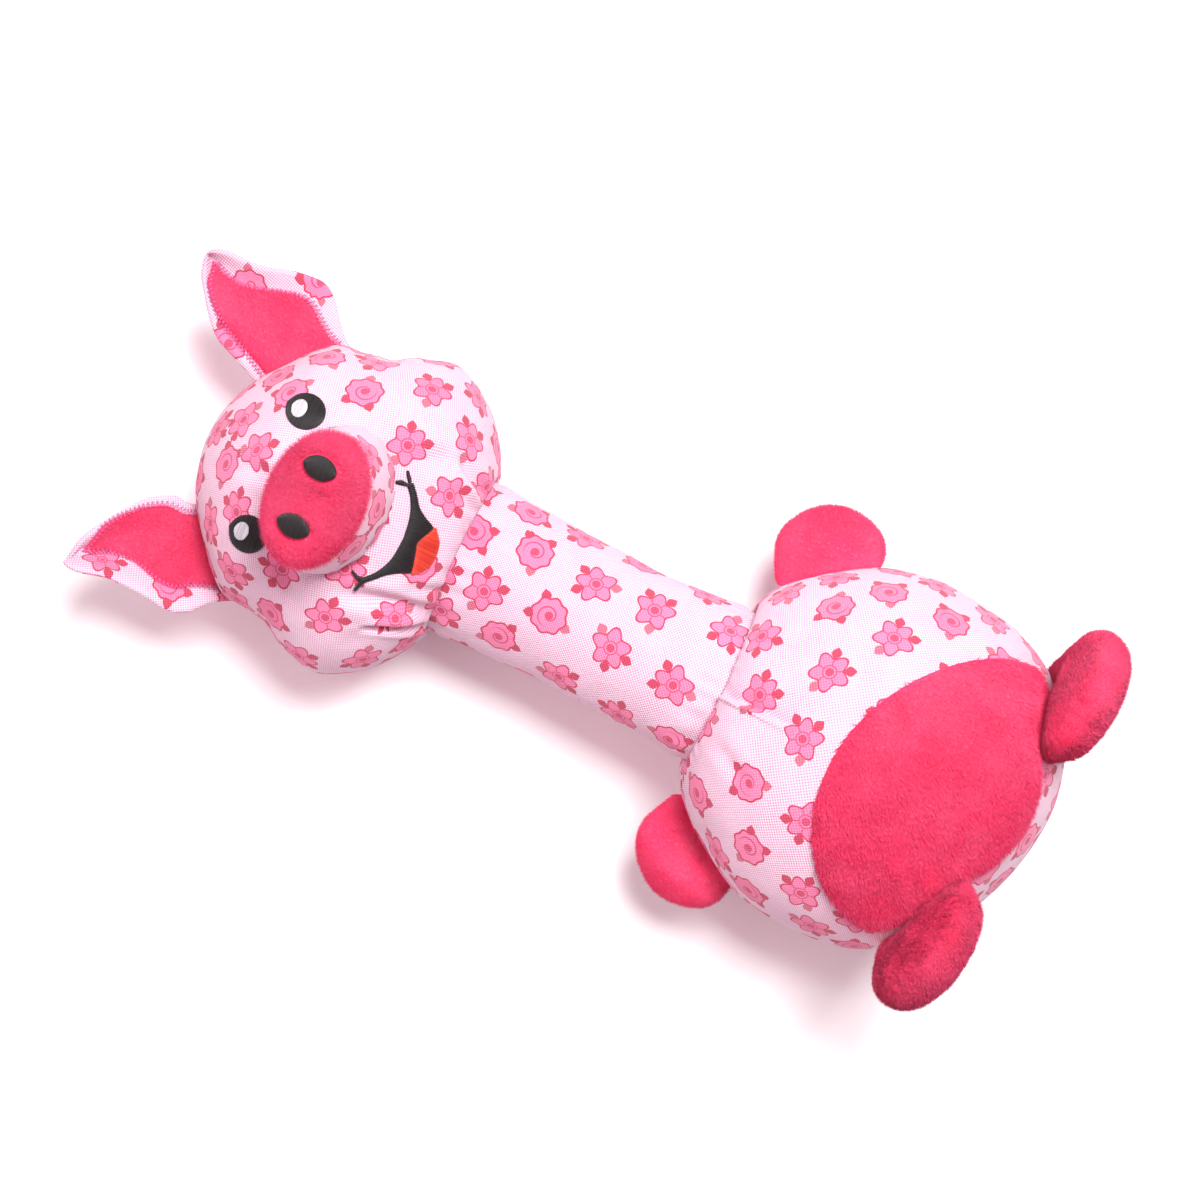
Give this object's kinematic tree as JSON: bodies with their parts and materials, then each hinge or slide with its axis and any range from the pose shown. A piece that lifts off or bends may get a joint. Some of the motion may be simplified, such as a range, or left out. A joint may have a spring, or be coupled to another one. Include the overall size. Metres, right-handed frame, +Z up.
{
  "type": "stuffed dog toy",
  "caption": "Dumbbell-shaped stuffed pig dog toy of printed canvas and plush, lying on its back, with flapping ears, arms and legs and a squeaker at each end.",
  "frame": {"origin": "middle of the toy's footprint, on the surface it lies on", "axes": "+X from the head to the seat, +Y to the toy's left side, +Z up from its back to its face and belly"},
  "size_m": [0.329, 0.1456, 0.1251],
  "materials": {
    "printed_canvas": "matte oxford weave, pale pink with a printed motif",
    "pink_plush": "short soft pile with a silky sheen",
    "black_thread": "satin-stitch embroidery",
    "white_thread": "satin-stitch embroidery",
    "red_thread": "satin-stitch embroidery",
    "polyester_stuffing": "loose fibre filling",
    "squeaker_plastic": "blow-moulded, translucent",
    "reed_plastic": "moulded, smooth"
  },
  "bodies": {
    "toy": {"head_front_panel": "printed_canvas", "head_back_panel": "printed_canvas", "snout_band": "printed_canvas", "neck_tube": "printed_canvas", "body_front_panel": "printed_canvas", "body_back_panel": "printed_canvas", "nose_pad": "pink_plush", "belly_patch": "pink_plush", "left_nostril": "black_thread", "right_nostril": "black_thread", "left_eye": "black_thread", "right_eye": "black_thread", "mouth": "black_thread", "left_eye_glint": "white_thread", "right_eye_glint": "white_thread", "tongue": "red_thread", "head_stuffing": "polyester_stuffing", "snout_stuffing": "polyester_stuffing", "neck_stuffing": "polyester_stuffing", "body_stuffing": "polyester_stuffing", "head_squeaker_bulb": "squeaker_plastic", "body_squeaker_bulb": "squeaker_plastic", "head_squeaker_reed": "reed_plastic", "body_squeaker_reed": "reed_plastic"},
    "left_ear": {"left_ear_back": "printed_canvas", "left_ear_front": "printed_canvas", "left_ear_lining": "pink_plush"},
    "right_ear": {"right_ear_back": "printed_canvas", "right_ear_front": "printed_canvas", "right_ear_lining": "pink_plush"},
    "left_arm": {"left_arm_front": "pink_plush", "left_arm_back": "pink_plush", "left_arm_stuffing": "polyester_stuffing"},
    "right_arm": {"right_arm_front": "pink_plush", "right_arm_back": "pink_plush", "right_arm_stuffing": "polyester_stuffing"},
    "left_leg": {"left_leg_front": "pink_plush", "left_leg_back": "pink_plush", "left_leg_stuffing": "polyester_stuffing"},
    "right_leg": {"right_leg_front": "pink_plush", "right_leg_back": "pink_plush", "right_leg_stuffing": "polyester_stuffing"}
  },
  "joints": [
    {"name": "left_ear_flap", "type": "hinge", "parent": "toy", "child": "left_ear", "pos_m": [-0.12431, 0.03896, 0.0429], "axis": [0.7022, 0.712, 0], "range_deg": [-30, 45], "stiffness_Nm_per_rad": 0.03},
    {"name": "right_ear_flap", "type": "hinge", "parent": "toy", "child": "right_ear", "pos_m": [-0.12431, -0.03396, 0.0429], "axis": [-0.7022, 0.712, 0], "range_deg": [-30, 45], "stiffness_Nm_per_rad": 0.03},
    {"name": "left_arm_flap", "type": "hinge", "parent": "toy", "child": "left_arm", "pos_m": [0.0664, 0.05122, 0.04247], "axis": [0.9098, 0.388, 0.1477], "range_deg": [-20, 20], "stiffness_Nm_per_rad": 0.1},
    {"name": "right_arm_flap", "type": "hinge", "parent": "toy", "child": "right_arm", "pos_m": [0.0664, -0.05122, 0.04247], "axis": [-0.9098, 0.388, -0.1477], "range_deg": [-20, 20], "stiffness_Nm_per_rad": 0.1},
    {"name": "left_leg_flap", "type": "hinge", "parent": "toy", "child": "left_leg", "pos_m": [0.14978, 0.04073, 0.08001], "axis": [0.0167, -0.9251, 0.3794], "range_deg": [-15, 12], "stiffness_Nm_per_rad": 0.1},
    {"name": "right_leg_flap", "type": "hinge", "parent": "toy", "child": "right_leg", "pos_m": [0.13771, -0.03934, 0.09141], "axis": [-0.2254, -0.9129, -0.3403], "range_deg": [-15, 12], "stiffness_Nm_per_rad": 0.1}
  ]
}
